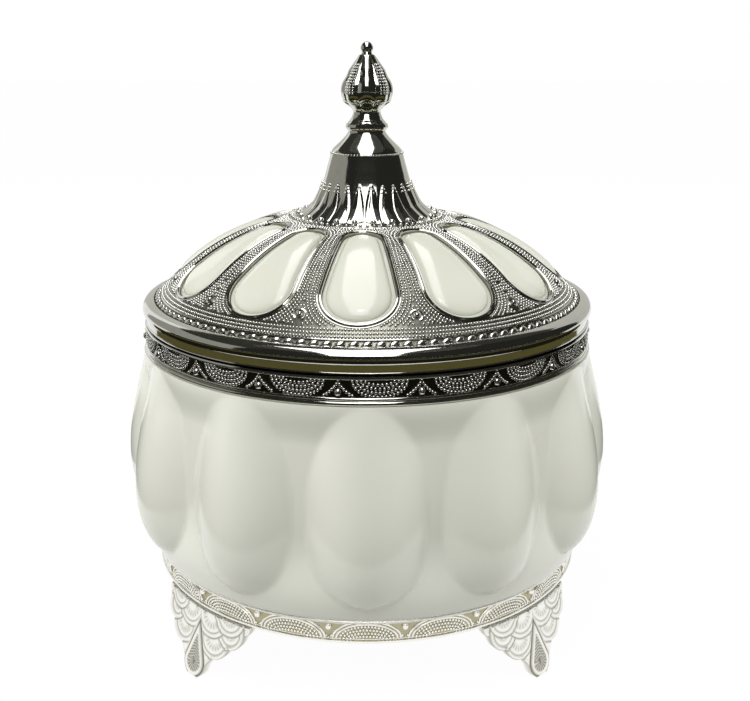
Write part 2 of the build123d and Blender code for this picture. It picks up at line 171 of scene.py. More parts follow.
# Beading of the lid
bead_pitch = 0.93
bead_size = 0.44
low_bead = (1.0, 1.0, 0.85)
first_bead_row = 1.78
bead_rows = 11
row_pitch = 0.94
level_rows = (62.3, 63.2, 64.05)
rib_gap = 0.36          # least way from a bead to the middle between two windows
filler_gap = 0.76       # least way from a bead of the row between two windows to its neighbours
pearl_place = 59.6
pearl_room = 2.15

# Finial
bud_lobes = 8
bud_low = bell_top + 6.0
bud_tip = finial_top - 4.2


# Small helpers

def polar(radius, azimuth):
    """Plan point at an azimuth."""
    turn = np.radians(azimuth)
    return radius * np.sin(turn), -radius * np.cos(turn)


def soft_step(value):
    """Smooth step from 0 to 1."""
    value = np.clip(value, 0.0, 1.0)
    return value * value * (3.0 - 2.0 * value)


def ridge(away, width):
    """Smooth ridge that is 1 high where away is 0 and fades over about width."""
    return np.exp(-(away / width) ** 2)


def make_mesh(name, points, faces, material, smooth=True):
    """One finished object at the origin from points in millimetres."""
    mesh = bpy.data.meshes.new(name)
    mesh.from_pydata((np.asarray(points) * MM).tolist(), [], faces)
    mesh.materials.append(material)
    mesh.polygons.foreach_set("use_smooth", [smooth] * len(mesh.polygons))
    mesh.update()
    piece = bpy.data.objects.new(name, mesh)
    bpy.context.scene.collection.objects.link(piece)
    return piece


def grid_faces(rows, columns, wrap_columns=False, wrap_rows=False, start=0):
    """Quads over rows of points."""
    faces = []
    for row in range(rows if wrap_rows else rows - 1):
        above = (row + 1) % rows
        for column in range(columns if wrap_columns else columns - 1):
            side = (column + 1) % columns
            faces.append((start + row * columns + column, start + row * columns + side,
                          start + above * columns + side, start + above * columns + column))
    return faces


def tidy(piece, outward=True, crease=40.0):
    """Merges doubles, which also closes poles, points the faces outwards and keeps edges sharper than
    crease degrees crisp."""
    work = bmesh.new()
    work.from_mesh(piece.data)
    bmesh.ops.remove_doubles(work, verts=work.verts, dist=0.004 * MM)
    bmesh.ops.delete(work, geom=[point for point in work.verts if not point.link_faces], context="VERTS")
    if outward:
        bmesh.ops.recalc_face_normals(work, faces=work.faces)
    work.to_mesh(piece.data)
    work.free()
    piece.data.set_sharp_from_angle(angle=math.radians(crease))


def turned(name, profile, material, segments, wave=None, closed=True, recess=None, recess_rows=(),
           crease=40.0):
    """A turned piece from (radius, height) points. wave(radius, height, turns) may shape the radius, and
    the profile's steps named in recess_rows take the recess material. A profile that starts and ends on
    the axis isn't closed."""
    turns = np.linspace(0.0, FULL_TURN, segments, endpoint=False)
    points = []
    for radius, height in profile:
        ring = wave(radius, height, turns) if wave else np.full(segments, float(radius))
        points.append(np.stack([ring * np.cos(turns), ring * np.sin(turns),
                                np.full(segments, float(height))], axis=1))
    faces = grid_faces(len(profile), segments, wrap_columns=True, wrap_rows=closed)
    piece = make_mesh(name, np.concatenate(points), faces, material)
    if recess:
        piece.data.materials.append(recess)
        for row in recess_rows:
            for polygon in piece.data.polygons[row * segments:(row + 1) * segments]:
                polygon.material_index = 1
    tidy(piece, crease=crease)
    return piece


def arc_points(start, middle, end, count):
    """Points on the circle through three (radius, height) points."""
    (ax, ay), (bx, by), (cx, cy) = start, middle, end
    twice = 2.0 * (ax * (by - cy) + bx * (cy - ay) + cx * (ay - by))
    a_square = ax * ax + ay * ay
    b_square = bx * bx + by * by
    c_square = cx * cx + cy * cy
    ux = (a_square * (by - cy) + b_square * (cy - ay) + c_square * (ay - by)) / twice
    uy = (a_square * (cx - bx) + b_square * (ax - cx) + c_square * (bx - ax)) / twice
    radius = math.hypot(ax - ux, ay - uy)
    first = math.atan2(ay - uy, ax - ux)
    sweep = (math.atan2(cy - uy, cx - ux) - first) % FULL_TURN
    if (math.atan2(by - uy, bx - ux) - first) % FULL_TURN > sweep:
        sweep -= FULL_TURN
    turns = [first + sweep * index / (count - 1) for index in range(count)]
    return [(ux + radius * math.cos(turn), uy + radius * math.sin(turn)) for turn in turns]


def smooth_line(knots, count):
    """Points on a smooth curve through (radius, height) knots."""
    knots = np.asarray(knots, float)
    steps = np.concatenate([[0.0], np.cumsum(np.hypot(*np.diff(knots, axis=0).T))])
    padded = np.vstack([2 * knots[0] - knots[1], knots, 2 * knots[-1] - knots[-2]])
    result = []
    for place in np.linspace(0.0, steps[-1], count):
        span = min(int(np.searchsorted(steps, place, side="right")) - 1, len(knots) - 2)
        share = (place - steps[span]) / (steps[span + 1] - steps[span])
        p0, p1, p2, p3 = padded[span:span + 4]
        point = 0.5 * (2 * p1 + (p2 - p0) * share + (2 * p0 - 5 * p1 + 4 * p2 - p3) * share ** 2
                       + (3 * p1 - p0 - 3 * p2 + p3) * share ** 3)
        result.append((float(point[0]), float(point[1])))
    return result


def evenly(path, pitch, closed=False):
    """Points at an even pitch along a path."""
    path = np.asarray(path, float)
    if closed:
        path = np.vstack([path, path[:1]])
    steps = np.concatenate([[0.0], np.cumsum(np.linalg.norm(np.diff(path, axis=0), axis=1))])
    count = max(2, int(round(steps[-1] / pitch)))
    places = np.linspace(0.0, steps[-1], count + (0 if closed else 1), endpoint=not closed)
    return np.stack([np.interp(places, steps, path[:, axis]) for axis in range(path.shape[1])], axis=1)


def tubes(name, paths, radius, material, sides, closed=True):
    """Round wires along closed or open paths of points, all in one mesh."""
    upwards = np.array([0.0, 0.0, 30.0])
    points = []
    faces = []
    for path in paths:
        path = np.asarray(path, float)
        if closed:
            along = np.roll(path, -1, axis=0) - np.roll(path, 1, axis=0)
        else:
            along = np.gradient(path, axis=0)
        along /= np.linalg.norm(along, axis=1)[:, None]
        out = path * np.array([1.0, 1.0, 0.0]) + upwards
        out -= np.sum(out * along, axis=1)[:, None] * along
        out /= np.linalg.norm(out, axis=1)[:, None]
        side = np.cross(along, out)
        start = len(points) * sides
        turns = np.linspace(0.0, FULL_TURN, sides, endpoint=False)[:, None]
        for place, normal, binormal in zip(path, out, side):
            points.append(place + radius * (np.cos(turns) * normal + np.sin(turns) * binormal))
        faces += grid_faces(len(path), sides, wrap_columns=True, wrap_rows=closed, start=start)
        if not closed:
            last = start + (len(path) - 1) * sides
            faces.append(tuple(range(start, start + sides))[::-1])
            faces.append(tuple(range(last, last + sides)))
    piece = make_mesh(name, np.concatenate(points), faces, material)
    tidy(piece)
    return piece


def fit(piece, body, *nodes, slot="plated_zinc"):
    """Gives a piece its body and hides the CAD nodes it stands for; its finish, slot, is not used."""
    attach(piece, body)
    if nodes:
        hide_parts(*nodes)


# Materials

def linear(code):
    """Linear RGBA of an sRGB hex colour."""
    values = [int(code[place:place + 2], 16) / 255.0 for place in (1, 3, 5)]
    return (*[value / 12.92 if value <= 0.04045 else ((value + 0.055) / 1.055) ** 2.4
              for value in values], 1.0)


def add_node(tree, kind, inputs=(), **settings):
    """Adds a node. inputs are (input's name or number, value or the output that feeds it) pairs, and
    settings are the node's own properties."""
    node = tree.nodes.new(kind)
    for name, value in settings.items():
        setattr(node, name, value)
    for place, value in inputs:
        if isinstance(value, bpy.types.NodeSocket):
            tree.links.new(value, node.inputs[place])
        else:
            node.inputs[place].default_value = value
    return node


def new_material(name):
    """An empty material and its nodes."""
    material = bpy.data.materials.new(name)
    material.use_nodes = True
    material.node_tree.nodes.clear()
    return material, material.node_tree


def finish_material(tree, shader):
    """Joins a shader to the material's output."""
    add_node(tree, "ShaderNodeOutputMaterial", [("Surface", shader.outputs[0])])


def cloud(tree, size, detail):
    """A soft pattern fixed to the piece, with patches of about a size in millimetres."""
    place = add_node(tree, "ShaderNodeTexCoord")
    pattern = add_node(tree, "ShaderNodeTexNoise", [("Vector", place.outputs["Object"]),
                                                    ("Scale", 1.0 / (size * MM)), ("Detail", detail)])
    return pattern.outputs[0]


def mottle(tree, size, detail, deep, pale):
    """Colour that drifts between two tones, which are inputs 6 and 7 of the mix, over about a size in
    millimetres."""
    tone = add_node(tree, "ShaderNodeMix", [("Factor", cloud(tree, size, detail)), (6, linear(deep)),
                                            (7, linear(pale))], data_type="RGBA")
    return tone.outputs[2]


def hills(tree, size, detail, strength, depth):
    """Bump of the cloud pattern, with its full depth in millimetres."""
    bump = add_node(tree, "ShaderNodeBump", [("Height", cloud(tree, size, detail)), ("Strength", strength),
                                             ("Distance", depth * MM)])
    return bump.outputs[0]


def glazed_porcelain():
    """Fired porcelain under a clear glaze. The body is a warm white with faint clouds about 26 mm wide,
    and the glaze, which pooled unevenly over about 11 mm, gives a second, softer gloss."""
    material, tree = new_material("glazed_white_porcelain")
    shader = add_node(tree, "ShaderNodeBsdfPrincipled", [
        ("Base Color", mottle(tree, 26.3, 3.0, "#E5E6D9", "#EBECE1")),
        ("Normal", hills(tree, 11.1, 1.0, 0.03, 0.4)), ("Roughness", 0.24), ("IOR", 1.5),
        ("Coat Weight", 0.5), ("Coat Roughness", 0.2)])
    finish_material(tree, shader)
    return material


def moulded_ivory():
    """Injection moulded and polished ivory resin: creamier than the porcelain, with a little light inside
    it and a smooth, wet looking gloss. Its tone drifts over about 17 mm."""
    material, tree = new_material("moulded_ivory_resin")
    shader = add_node(tree, "ShaderNodeBsdfPrincipled", [
        ("Base Color", mottle(tree, 16.7, 2.0, "#DADBCB", "#E3E4D7")),
        ("Roughness", 0.14), ("IOR", 1.5), ("Subsurface Weight", 0.1), ("Subsurface Scale", 2.0 * MM),
        ("Coat Weight", 0.1), ("Coat Roughness", 0.05)])
    finish_material(tree, shader)
    return material


def plated_metal(name, pale, deep, roughness, grain, hollow_tone="#4E4A36"):
    """Nickel plate over a zinc casting. The plate's tone drifts over about 4 mm, and the casting's skin,
    really under 0.1 mm fine, is drawn as 1.1 mm hills so that it shows. Where a piece has a recess
    attribute, its hollows are coloured darker, towards hollow_tone."""
    material, tree = new_material(name)
    hollow = add_node(tree, "ShaderNodeAttribute", attribute_name="recess")
    tone = add_node(tree, "ShaderNodeMix", [
        ("Factor", hollow.outputs["Fac"]), (6, mottle(tree, 3.85, 4.0, deep, pale)),
        (7, linear(hollow_tone))], data_type="RGBA")
    shader = add_node(tree, "ShaderNodeBsdfPrincipled", [
        ("Base Color", tone.outputs[2]),
        ("Normal", hills(tree, 1.11, 2.0, grain, 0.2)), ("Metallic", 1.0), ("Roughness", roughness)])
    finish_material(tree, shader)
    return material


def plain_solid(name, pale, deep, roughness, metallic=0.0, see_through=0.0):
    """Materials of the inner pieces, each with a faint mottle of about 2 mm."""
    material, tree = new_material(name)
    shader = add_node(tree, "ShaderNodeBsdfPrincipled", [
        ("Base Color", mottle(tree, 2.0, 3.0, deep, pale)), ("Roughness", roughness),
        ("Metallic", metallic), ("Transmission Weight", see_through)])
    finish_material(tree, shader)
    return material


porcelain = glazed_porcelain()
ivory = moulded_ivory()

# Polished plate of the rolled rim, bell, window rims and finial: mirror bright, slightly warm
nickel = plated_metal("bright_nickel_plate", "#D9D9D3", "#C9C9C1", 0.09, 0.04)

# Beads and rope: a brighter copy of the plate that paints the sparkle they catch, their gloss a little
# spread by the cast skin
beading_plate_painted_bright = plated_metal("nickel_beading_painted_highlight", "#F8F8F4", "#F0F0EA", 0.22, 0.05)

# Ground between the beads: the same plate, rougher and duller, its colour darkened as painted shade between
# the beads
beading_ground_painted_shade = plated_metal("nickel_plate_painted_shade_under_beading", "#A09F94", "#7E7D72", 0.32, 0.3)

# Ground of the collar's band: the plate darkened nearly black as painted shade, which sets off the pearls
# and swags
collar_band_painted_shade = plated_metal("nickel_plate_painted_shade_in_collar_band", "#5A5950", "#42413A", 0.30, 0.3)

# Feet and base ring: pale satin plate, coloured brown grey in the hollows of the feet's carving
silver_cast = plated_metal("pale_nickel_casting", "#FAF9F4", "#F0EFE6", 0.36, 0.2, "#6C6854")

# Ground of the base ring's band: the same casting, darker and olive as painted shade and a painted
# reflection of the olive table
ring_band_painted_light = plated_metal("casting_painted_table_reflection_and_shade", "#BDB79C", "#A09A7D", 0.38, 0.3)

# Cement that beds the metal rings: dry, matt and off white
plaster = plain_solid("plaster_cement", "#CFCBBE", "#C1BDB1", 0.85)

# Seal of moulded silicone: milky and half clear, with a dull gloss
silicone = plain_solid("clear_silicone", "#E4E4E0", "#D4D4D0", 0.35, see_through=0.4)

# Rivets, stud, washer and nut: zinc plated steel, satin grey
steel = plain_solid("plated_steel_hardware", "#B4B4B0", "#A7A7A4", 0.28, metallic=1.0)


# Beads and pearls: one small ball on each point, by Geometry Nodes

def bead_tree():
    """Puts a ball on each point, stretched and turned as the point's bead_scale and bead_turn say, and
    gives the tree with the identifiers of its sides, rings and finish."""
    tree = bpy.data.node_groups.new("cast_beading", "GeometryNodeTree")
    face = tree.interface
    face.new_socket("Geometry", in_out="INPUT", socket_type="NodeSocketGeometry")
    sizes = [face.new_socket(name, in_out="INPUT", socket_type=kind).identifier
             for name, kind in (("Sides of a bead", "NodeSocketInt"), ("Rings of a bead", "NodeSocketInt"),
                                ("Finish", "NodeSocketMaterial"))]
    face.new_socket("Geometry", in_out="OUTPUT", socket_type="NodeSocketGeometry")
    entry = add_node(tree, "NodeGroupInput")
    ball = add_node(tree, "GeometryNodeMeshUVSphere", [("Segments", entry.outputs[1]),
                                                       ("Rings", entry.outputs[2]), ("Radius", 1.0)])
    soft = add_node(tree, "GeometryNodeSetShadeSmooth", [("Geometry", ball.outputs[0])])
    size, turn = [add_node(tree, "GeometryNodeInputNamedAttribute", [("Name", name)],
                           data_type="FLOAT_VECTOR") for name in ("bead_scale", "bead_turn")]
    spots = add_node(tree, "GeometryNodeInstanceOnPoints",
                     [("Points", entry.outputs[0]), ("Instance", soft.outputs[0]),
                      ("Scale", size.outputs[0]), ("Rotation", turn.outputs[0])])
    real = add_node(tree, "GeometryNodeRealizeInstances", [("Geometry", spots.outputs[0])])
    coat = add_node(tree, "GeometryNodeSetMaterial",
                    [("Geometry", real.outputs[0]), ("Material", entry.outputs[3])])
    add_node(tree, "NodeGroupOutput", [("Geometry", coat.outputs[0])])
    return tree, sizes


bead_nodes, bead_inputs = bead_tree()


def beads(name, spots, material, detail, stretch=(1.0, 1.0, 1.0), turns=None):
    """A mesh of balls from (x, y, z, radius) rows. detail gives a ball's sides and rings; stretch, and
    turns in radians, make the balls grains that lie along a line."""
    spots = np.asarray(spots, float)
    mesh = bpy.data.meshes.new(name + "_points")
    mesh.from_pydata((spots[:, :3] * MM).tolist(), [], [])
    sizes = spots[:, 3:4] * np.asarray(stretch) * MM
    if turns is None:
        turns = np.zeros_like(sizes)
    for attribute, rows in (("bead_scale", sizes), ("bead_turn", turns)):
        values = mesh.attributes.new(attribute, "FLOAT_VECTOR", "POINT")
        values.data.foreach_set("vector", np.asarray(rows, np.float32).ravel())
    carrier = bpy.data.objects.new(name + "_points", mesh)
    bpy.context.scene.collection.objects.link(carrier)
    modifier = carrier.modifiers.new("beading", "NODES")
    modifier.node_group = bead_nodes
    for identifier, value in zip(bead_inputs, (*detail, material)):
        modifier[identifier] = value
    bpy.context.view_layer.update()
    solid = bpy.data.meshes.new_from_object(
        carrier.evaluated_get(bpy.context.evaluated_depsgraph_get()))
    carrier.modifiers.remove(modifier)
    bpy.data.objects.remove(carrier)
    solid.name = name
    piece = bpy.data.objects.new(name, solid)
    bpy.context.scene.collection.objects.link(piece)
    return piece


def bead_ring(radius, height, size, azimuths):
    """Rows for beads of one size at a radius and height, one at each azimuth."""
    x, y = polar(float(radius), azimuths)
    return [(px, py, float(height), size) for px, py in zip(x, y)]


# Porcelain bowl

def lobed_skin(radius, height, turns):
    """The bowl's radius: egg shaped lobes rise out of the plain skin, with hollows between them. Only the
    outer skin is as wide as the foot, so rings narrower than that stay round."""
    climb = (height - bowl_bottom - lobe_start) / (bowl_height - lobe_start)
    if radius < bowl_foot_radius or climb <= 0.0 or climb >= 1.0:
        return np.full(len(turns), float(radius))
    span = lobe_widest if climb < lobe_widest else 1.0 - lobe_widest
    widest = math.sqrt(max(1e-9, 1.0 - (abs(climb - lobe_widest) / span) ** lobe_outline))
    pitch = FULL_TURN / lobe_count
    away = np.abs((turns + math.pi / 2 + pitch / 2) % pitch - pitch / 2)
    swell = np.clip(1.0 - (away / (lobe_share * pitch / 2 * widest)) ** 2, 0.0, 1.0) ** lobe_crown
    fade = min(1.0, (1.0 - climb) / hollow_fade_top) * min(1.0, climb / hollow_fade_foot)
    valley = radius - hollow_depth * float(soft_step(fade))
    crest = radius + lobe_rise * math.sin(math.pi * climb ** lobe_skew)
    return valley + (crest - valley) * swell


def build_bowl():
    """Outside with lobes, neck, mouth, smooth inside, foot and recess, as one closed skin."""
    skin_rows = 100
    underside = spigot_bottom + spigot_recess
    inside = underside + bowl_floor
    inner_spigot = spigot_radius - spigot_wall
    profile = [(0.0, underside), (inner_spigot, underside), (inner_spigot, spigot_bottom),
               (spigot_radius, spigot_bottom), (spigot_radius, bowl_bottom)]
    for share in np.linspace(0.0, 1.0, skin_rows):
        profile.append((bowl_foot_radius + bowl_belly * math.sin(math.pi * share ** belly_skew),
                        bowl_bottom + bowl_height * share))
    profile += [(neck_radius, collar_bottom)]
    profile += arc_points((neck_radius, mouth_level - 0.8), (neck_radius - 1.8, mouth_level),
                          (mouth_radius, mouth_level - 1.2), 9)
    profile += arc_points((mouth_radius, collar_bottom + 1.0),
                          (bowl_inner_radius, bowl_bottom + 0.55 * bowl_height),
                          (bowl_floor_radius, inside + inner_round), 20)
    corner = 0.293 * inner_round    # how far in the middle of a quarter round lies
    profile += arc_points((bowl_floor_radius, inside + inner_round),
                          (bowl_floor_radius - corner, inside + corner),
                          (bowl_floor_radius - inner_round, inside), 9)[1:]
    profile += [(0.0, inside)]
    piece = turned("porcelain_bowl_skin", profile, porcelain, segments=40 * lobe_count,
                   wave=lobed_skin, closed=False, crease=60.0)
    fit(piece, "jar", "porcelain_bowl", slot="white_porcelain")


build_bowl()


# Dome of the lid: surface and window layout. Window coordinates are the way along the dome's arc from its
# top, and the way across.

def slope_line():
    """Start and end of the straight slope between dome and rolled rim."""
    rise = math.sqrt(dome_arc_radius ** 2 - (dome_foot_radius - dome_arc_offset) ** 2)
    return (dome_foot_radius, arc_level + rise), (lid_rim_radius + 0.4, lid_level + lid_slope_height)


slope_head, slope_foot = slope_line()
slope_turn = math.atan2(slope_head[1] - slope_foot[1], slope_foot[0] - slope_head[0])
arc_end = dome_arc_radius * math.asin((dome_foot_radius - dome_arc_offset) / dome_arc_radius)
curl_along = dome_arc_radius * math.asin((pearl_place - dome_arc_offset) / dome_arc_radius)
cell_inner = bell_foot_radius - 0.6
cell_outer = rope_ring_radius - 0.9
half_cell = 180.0 / window_count
window_azimuths = window_turn + 2.0 * half_cell * np.arange(window_count)


def along_to_radius(along):
    """Radius from the axis of a place given by its way along the dome's arc."""
    along = np.asarray(along, float)
    on_arc = dome_arc_offset + dome_arc_radius * np.sin(np.minimum(along, arc_end) / dome_arc_radius)
    return on_arc + np.maximum(along - arc_end, 0.0) * math.cos(slope_turn)


def dome_surface(radius, rise=0.0):
    """(radius, height) of the lid's skin at a radius, or standing out of it by rise."""
    radius = np.asarray(radius, float)
    lean = np.arcsin(np.clip((radius - dome_arc_offset) / dome_arc_radius, -1.0, 1.0))
    arc_height = arc_level + dome_arc_radius * np.cos(lean)
    slope_height = slope_head[1] - (radius - slope_head[0]) * math.tan(slope_turn)
    on_slope = radius > dome_foot_radius
    height = np.where(on_slope, slope_height, arc_height)
    turn = np.where(on_slope, slope_turn, lean)
    return radius + rise * np.sin(turn), height + rise * np.cos(turn)


def spread(along, across):
    """Radius from the axis and swing in degrees of window coordinates."""
    plan_radius = along_to_radius(along)
    return np.hypot(plan_radius, across), np.degrees(np.arctan2(across, plan_radius))


def dome_point(along, across, azimuth, rise=0.0):
    """Points on the lid's skin from window coordinates, for a window at an azimuth."""
    radius, swing = spread(along, across)
    radius, height = dome_surface(radius, rise)
    x, y = polar(radius, azimuth + swing)
    return np.stack([x, y, height], axis=-1)


def window_ring(extra):
    """A window's outline grown by extra, with its outward directions."""
    outer_steps = 44
    side_steps = 14
    inner_steps = 22
    small = window_inner_round + extra
    large = window_outer_round + extra
    tangent = math.pi / 2 + math.asin((window_outer_round - window_inner_round)
                                      / (window_outer - window_inner))
    outer = np.linspace(0.0, tangent, outer_steps)
    inner = np.linspace(tangent, math.pi, inner_steps)
    outer_arc = np.stack([window_outer + large * np.cos(outer), large * np.sin(outer)], axis=1)
    inner_arc = np.stack([window_inner + small * np.cos(inner), small * np.sin(inner)], axis=1)
    share = np.linspace(0.0, 1.0, side_steps + 2)[1:-1, None]
    side = outer_arc[-1] + share * (inner_arc[0] - outer_arc[-1])
    turns = np.concatenate([outer, np.full(side_steps, tangent), inner])
    half = np.concatenate([outer_arc, side, inner_arc])
    ways = np.stack([np.cos(turns), np.sin(turns)], axis=1)
    mirror = np.array([1.0, -1.0])
    return (np.concatenate([half, half[-2:0:-1] * mirror]),
            np.concatenate([ways, ways[-2:0:-1] * mirror]))


def way_to_edge(points, ways):
    """How far each outline point is from the edge of the window's own twelfth of the dome, along its
    outward direction, by halving."""
    low = np.zeros(len(points))
    high = np.full(len(points), 30.0)
    for _ in range(40):
        middle = (low + high) / 2
        spot = points + ways * middle[:, None]
        radius, swing = spread(spot[:, 0], np.abs(spot[:, 1]))
        inside = (swing <= half_cell) & (radius >= cell_inner) & (radius <= cell_outer)
        low = np.where(inside, middle, low)
        high = np.where(inside, high, middle)
    return low


def build_dome_skin():
    """Pierced skin with window walls for all twelve windows."""
    outline, ways = window_ring(0.0)
    room = way_to_edge(outline, ways)
    shares = np.concatenate([[0.0], np.linspace(0.12, 1.0, 11)])
    layers = [(outline + ways * (room * share)[:, None], 0.0) for share in shares[::-1]]
    layers += [(outline, depth) for depth in (-0.6, -1.2, -dome_wall)]
    points = []
    faces = []
    for azimuth in window_azimuths:
        start = len(points) * len(outline)
        for spots, rise in layers:
            points.append(dome_point(spots[:, 0], spots[:, 1], azimuth, rise))
        faces += grid_faces(len(layers), len(outline), wrap_columns=True, start=start)
    # The skin takes the plate darkened as painted shade between the beads
    piece = make_mesh("lid_dome_skin", np.concatenate(points), faces, beading_ground_painted_shade)
    tidy(piece, outward=False)
    fit(piece, "lid")


def build_lid_rim():
    """Skirt, polished roll, flat slope and the channel that the rope lies in, dark with painted shade, as a
    closed ring.
    """
    leans = np.radians(np.linspace(-38.0, 68.0, 30))
    roll = [(roll_centre + roll_radius * math.cos(lean), roll_level + roll_radius * math.sin(lean))
            for lean in leans]
    low = roll[0][1]
    high = roll[-1][1]
    channel = [tuple(map(float, dome_surface(radius, rise)))
               for radius, rise in ((66.6, -0.1), (66.4, -0.5), (64.75, -0.5), (64.6, 0.05), (63.6, -0.1))]
    profile = [(lid_bore_radius, lid_level), (69.2, lid_level), (69.55, lid_level + 0.2),
               (69.5, lid_level + 0.45), (69.3, lid_level + 0.55), (69.3, low - 0.15)]
    profile += roll + [(67.6, high + 0.42), (66.75, high + 0.5)]
    first = len(profile)
    profile += channel + [(63.4, lid_level + 6.2), (lid_bore_radius, lid_level + lid_bore_height)]
    # The rope's channel takes the plate darkened as painted shade
    piece = turned("lid_rolled_rim", profile, nickel, segments=384, recess=beading_ground_painted_shade,
                   recess_rows=range(first - 1, first + 2))
    fit(piece, "lid", "lid_dome")


def leaf_edge(climb):
    """Half width of the bell's leaves at a share of their height, as a share of half their pitch."""
    return 0.92 * (1.0 - climb ** 1.7) ** 0.8


def facets(radius, height, turns):
    """Twelve soft upright facets on the bell, and pointed leaves raised on its flared foot."""
    pitch = FULL_TURN / facet_count
    place = (turns + (math.pi + pitch) / 2 - math.radians(window_turn)) % pitch - pitch / 2
    upright = facet_share * float(soft_step((shoulder_level - 0.6 - height) / 2.0)
                                  * soft_step((height - crown_level - 1.0) / 4.0))
    ring = radius * (1.0 + upright * (1.0 / np.cos(place) - 1.017))
    climb = (height - crown_level) / leaf_height
    if 0.0 <= climb < 1.0:
        half = np.abs(np.abs(place) - pitch / 4) / (pitch / 4)
        inside = leaf_edge(climb) - half
        cushion = np.clip(inside / 0.6, 0.0, 1.0) ** 0.5
        relief = leaf_line_height * ridge(inside, 0.16) + leaf_cushion_height * cushion
        ring = ring + relief * min(1.0, climb / 0.08)
    return ring


# Bell's outline read off the photograph, as (radius, height over the crown)
bell_shape = ((22.4, -0.9), (24.0, -0.45), (20.4, 0.9), (17.2, 3.3), (15.5, 5.9), (13.6, 10.4),
              (12.1, 15.4), (11.35, 18.1), (10.95, 19.4), (10.1, 20.6), (8.5, 22.1), (7.1, 23.5),
              (6.1, 24.7), (5.7, 25.3), (5.6, bell_height))
bell_line = smooth_line([(radius, crown_level + rise) for radius, rise in bell_shape], 96)


def build_bell():
    """Faceted bell on top of the dome, with its closed top and hollow inside."""
    profile = bell_line + [(stud_hole, bell_top), (stud_hole, bell_top - 3.8), (4.6, bell_top - 3.8),
                           (8.6, crown_level + 12.0), (13.0, crown_level + 3.5),
                           (cell_inner - 3.0, crown_level - 2.4)]
    fit(turned("lid_bell", profile, nickel, segments=576, wave=facets, crease=35.0), "lid")


def build_window_rims():
    """Smooth raised wire round each window, and a fine line just outside it."""
    for name, extra, rise, radius in (("window_rims", 0.32, 0.05, 0.46),
                                      ("window_fine_lines", 1.14, 0.0, 0.24)):
        outline, _ = window_ring(extra)
        paths = [dome_point(outline[:, 0], outline[:, 1], azimuth, rise) for azimuth in window_azimuths]
        fit(tubes(name, paths, radius, nickel, sides=8), "lid")


def build_rope():
    """Rope moulding round the foot of the dome: slanted grains, one for each twist."""
    azimuths = 360.0 * np.arange(rope_twists) / rope_twists
    turns = []
    for azimuth in np.radians(azimuths):
        out = Vector((math.sin(azimuth), -math.cos(azimuth), 0.0))
        normal = out * math.sin(slope_turn) + Vector((0.0, 0.0, math.cos(slope_turn)))
        along = Vector((math.cos(azimuth), math.sin(azimuth), 0.0))
        along.rotate(Quaternion(normal, math.radians(rope_slant)))
        turns.append(Matrix((along, normal.cross(along), normal)).transposed().to_euler())
    spots = bead_ring(*dome_surface(rope_ring_radius, -0.1), rope_radius, azimuths)
    fit(beads("rope_moulding", spots, beading_plate_painted_bright, rope_grain, stretch=(1.75, 0.86, 0.70),
              turns=turns), "lid")


def build_dome_beads():
    """Rows of beads that follow each window, a row between each two windows where there is room, both
    with a bare place round the pearl, and level rows along the rope."""
    rows = []
    for row in range(bead_rows):
        outline, _ = window_ring(first_bead_row + row_pitch * row)
        even = evenly(outline, bead_pitch, closed=True)
        radius, swing = spread(even[:, 0], np.abs(even[:, 1]))
        gap = radius * np.radians(half_cell - swing)
        to_pearl = np.hypot(gap, 1.38 * (radius - pearl_place))
        rows.append(even[(gap > rib_gap) & (radius > cell_inner + 1.2) & (radius < level_rows[0] - 0.7)
                         & (to_pearl > pearl_room)])
    cell = np.concatenate(rows)
    spots = []
    for azimuth in window_azimuths:
        spots += [(*place, bead_size) for place in dome_point(cell[:, 0], cell[:, 1], azimuth, 0.1)]
    taken = np.stack([along_to_radius(cell[:, 0]), cell[:, 1]], axis=1)
    between = np.array([math.cos(math.radians(half_cell)), math.sin(math.radians(half_cell))])
    for radius in np.arange(cell_inner + 1.4, level_rows[0] - 0.8, 0.15):
        place = radius * between
        if np.hypot(*(taken - place).T).min() >= filler_gap and abs(radius - pearl_place) >= 1.9:
            taken = np.vstack([taken, place])
            spots += bead_ring(*dome_surface(radius, 0.1), bead_size, window_azimuths + half_cell)
    fit(beads("dome_beading", spots, beading_plate_painted_bright, small_bead, stretch=low_bead), "lid")
    spots = []
    for level_row in level_rows:
        count = int(FULL_TURN * level_row / bead_pitch)
        spots += bead_ring(*dome_surface(level_row, 0.1), bead_size, 360.0 * np.arange(count) / count)
    fit(beads("level_beading", spots, beading_plate_painted_bright, small_bead, stretch=low_bead), "lid")


def build_dome_curls():
    """A pearl inside a small open ring between each two windows."""
    spots = []
    paths = []
    turns = np.radians(np.linspace(20.0, 320.0, 22))
    for azimuth in window_azimuths + half_cell:
        spots.append((*dome_point(curl_along, 0.0, azimuth, 0.3), 0.8))
        paths.append(dome_point(curl_along + 1.6 * np.cos(turns), 1.6 * np.sin(turns), azimuth, 0.1))
    fit(beads("dome_pearls", spots, nickel, pearl), "lid")
    fit(tubes("dome_curls", paths, 0.36, beading_plate_painted_bright, sides=6, closed=False), "lid")


